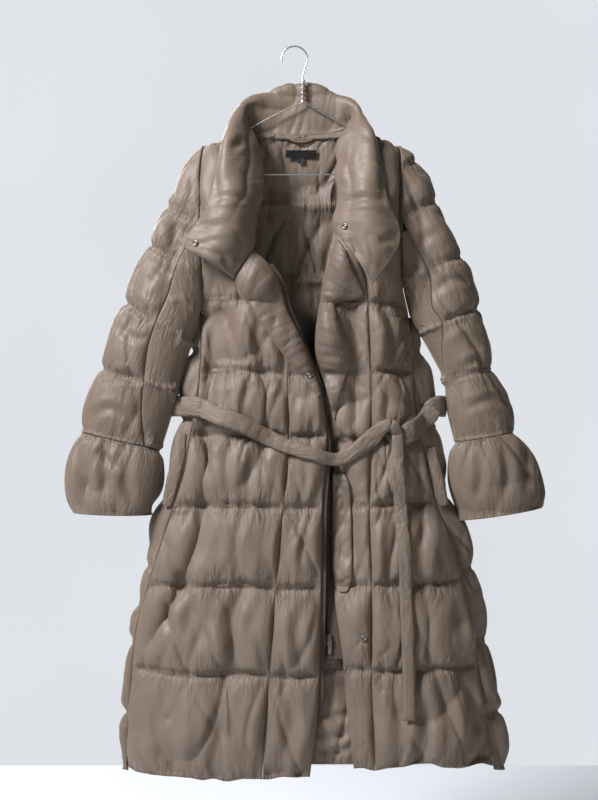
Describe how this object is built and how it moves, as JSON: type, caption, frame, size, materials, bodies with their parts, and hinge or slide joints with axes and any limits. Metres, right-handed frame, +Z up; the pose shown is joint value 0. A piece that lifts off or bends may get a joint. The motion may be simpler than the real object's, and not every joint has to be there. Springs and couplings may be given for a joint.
{
  "type": "long puffer coat on wire hanger",
  "caption": "Long down-filled wrap coat with a tall rolled collar, wide turned cuffs and a loose belt, hanging open on a twisted wire hanger.",
  "frame": {"origin": "underside of the hanger's hook, where a rail or peg carries it", "axes": "+Z up; the coat's front faces -Y; the wearer's left side is at +X; the hanger lies in the plane y = 0"},
  "size_m": [0.889, 0.1656, 1.3471],
  "materials": {
    "shell_nylon": "soft satin sheen, quilted",
    "facing_nylon": "soft satin sheen",
    "label_satin": "woven satin, bare",
    "zip_tape": "matt woven tape",
    "zip_metal": "satin metal",
    "snap_steel": "polished metal",
    "hanger_steel": "bright drawn wire"
  },
  "bodies": {
    "coat": {"back_panel": "shell_nylon", "belt_back": "shell_nylon", "belt_end": "shell_nylon", "belt_left": "shell_nylon", "belt_right": "shell_nylon", "collar": "shell_nylon", "cuff_left": "shell_nylon", "cuff_right": "shell_nylon", "front_left": "shell_nylon", "front_right": "shell_nylon", "hang_loop": "shell_nylon", "hanger_wire": "hanger_steel", "lapel_left": "facing_nylon", "lapel_right": "facing_nylon", "neck_label": "label_satin", "placket_left": "shell_nylon", "placket_right": "shell_nylon", "pocket_welt_left": "shell_nylon", "pocket_welt_right": "shell_nylon", "size_tab": "label_satin", "sleeve_under_left": "shell_nylon", "sleeve_under_right": "shell_nylon", "sleeve_upper_left": "shell_nylon", "sleeve_upper_right": "shell_nylon", "snap_collar_left": "snap_steel", "snap_collar_right": "snap_steel", "snap_front_right": "snap_steel", "snap_lapel_left": "snap_steel", "underlap": "shell_nylon", "wind_flap": "shell_nylon", "zip_slider": "zip_metal", "zip_tape_left": "zip_tape", "zip_tape_right": "zip_tape"},
    "pull": {"zip_pull": "zip_metal"}
  },
  "joints": [
    {"name": "pull_swing", "type": "hinge", "parent": "coat", "child": "pull", "pos_m": [0.063, -0.06616, -1.085], "axis": [-1, 0, 0], "range_deg": [0, 120]}
  ]
}
